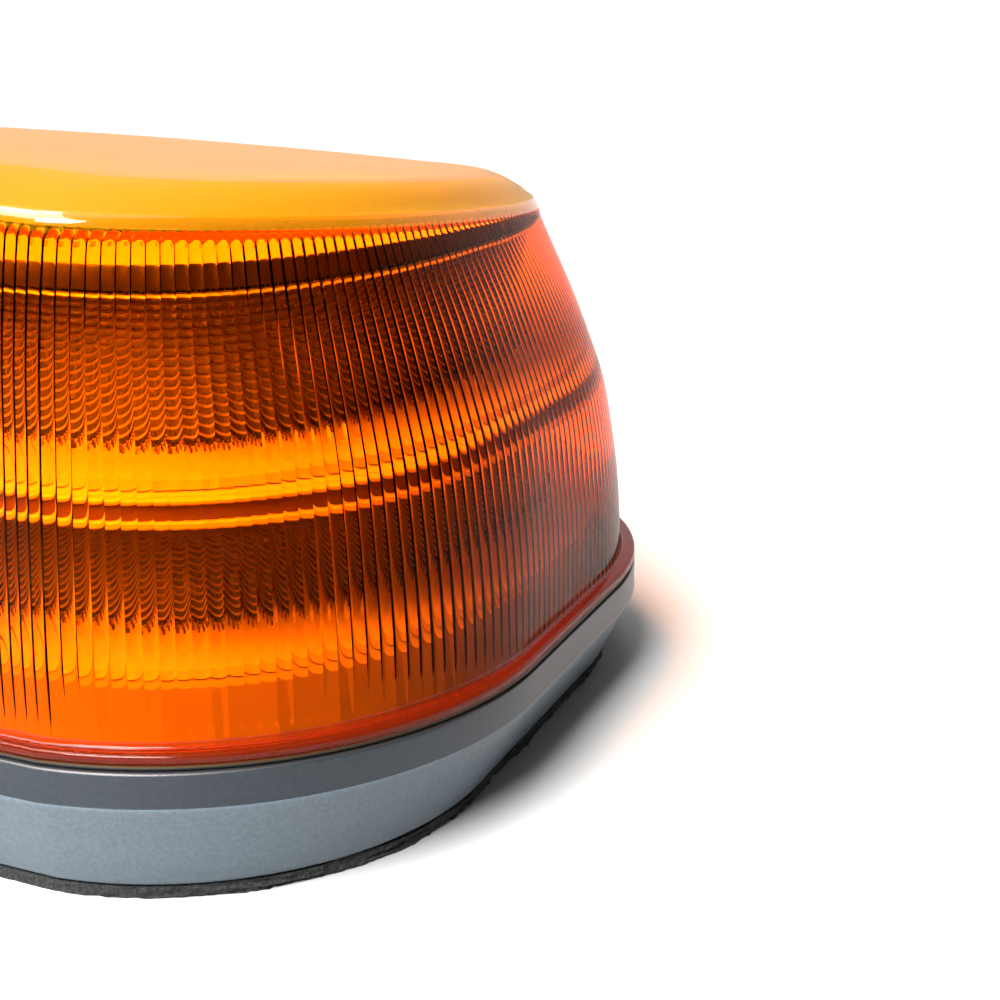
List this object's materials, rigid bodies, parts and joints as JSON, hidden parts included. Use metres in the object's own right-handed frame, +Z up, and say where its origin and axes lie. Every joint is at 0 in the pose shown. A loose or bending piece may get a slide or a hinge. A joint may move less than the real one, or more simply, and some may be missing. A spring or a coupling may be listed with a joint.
{
  "type": "led mini lightbar",
  "caption": "Amber LED mini lightbar: fluted lens dome over tiered reflectors and LED strips, on a grey base with a foam pad.",
  "frame": {"origin": "middle of the foam pad's underside", "axes": "+X along the bar, +Z up, -Y the side the picture shows as the front"},
  "size_m": [0.3802, 0.1798, 0.1169],
  "materials": {
    "lens": "amber polycarbonate, polished wall with fine flutes inside, frosted roof",
    "base": "slate grey, fine satin grain",
    "foam": "black closed-cell foam with a rough cut edge",
    "rubber": "black moulded rubber",
    "steel": "plain zinc-plated steel",
    "brass": "turned brass",
    "aluminium": "milled aluminium",
    "reflector": "metallised plastic with fine steps",
    "led_board": "white solder mask with clear LED domes",
    "clear_plate": "translucent white plastic plate",
    "circuit_board": "green solder mask",
    "green_plastic": "green moulded plastic",
    "black_plastic": "black moulded plastic",
    "white_plastic": "white moulded plastic",
    "wire": "red PVC insulation"
  },
  "bodies": {
    "root": {"base_housing": "base", "base_pillar_1": "aluminium", "base_pillar_2": "aluminium", "base_pillar_3": "aluminium", "base_pillar_4": "aluminium", "breather_vent": "black_plastic", "cable_grommet": "rubber", "carrier_plate": "aluminium", "driver_board": "circuit_board", "filter_choke": "black_plastic", "foam_pad": "foam", "input_capacitor": "black_plastic", "input_terminal": "green_plastic", "lens_dome": "lens", "lens_screw_1": "steel", "lens_screw_2": "steel", "lens_screw_3": "steel", "lens_screw_4": "steel", "lens_screw_5": "steel", "lens_screw_6": "steel", "lens_seal": "rubber", "lower_led_strip_front": "led_board", "lower_led_strip_left": "led_board", "lower_led_strip_rear": "led_board", "lower_led_strip_right": "led_board", "lower_reflector": "reflector", "lower_spacer_1": "aluminium", "lower_spacer_2": "aluminium", "lower_spacer_3": "aluminium", "lower_spacer_4": "aluminium", "mid_plate": "clear_plate", "mounting_insert_1": "brass", "mounting_insert_2": "brass", "mounting_insert_3": "brass", "mounting_insert_4": "brass", "pattern_controller": "black_plastic", "regulator_heatsink": "aluminium", "tie_screw_1": "steel", "tie_screw_2": "steel", "tie_screw_3": "steel", "tie_screw_4": "steel", "tier_cable_lower": "wire", "tier_cable_upper": "wire", "tier_connector_lower": "white_plastic", "tier_connector_upper": "white_plastic", "top_plate": "black_plastic", "upper_led_strip_front": "led_board", "upper_led_strip_left": "led_board", "upper_led_strip_rear": "led_board", "upper_led_strip_right": "led_board", "upper_reflector": "reflector", "upper_spacer_1": "aluminium", "upper_spacer_2": "aluminium", "upper_spacer_3": "aluminium", "upper_spacer_4": "aluminium"}
  },
  "joints": []
}
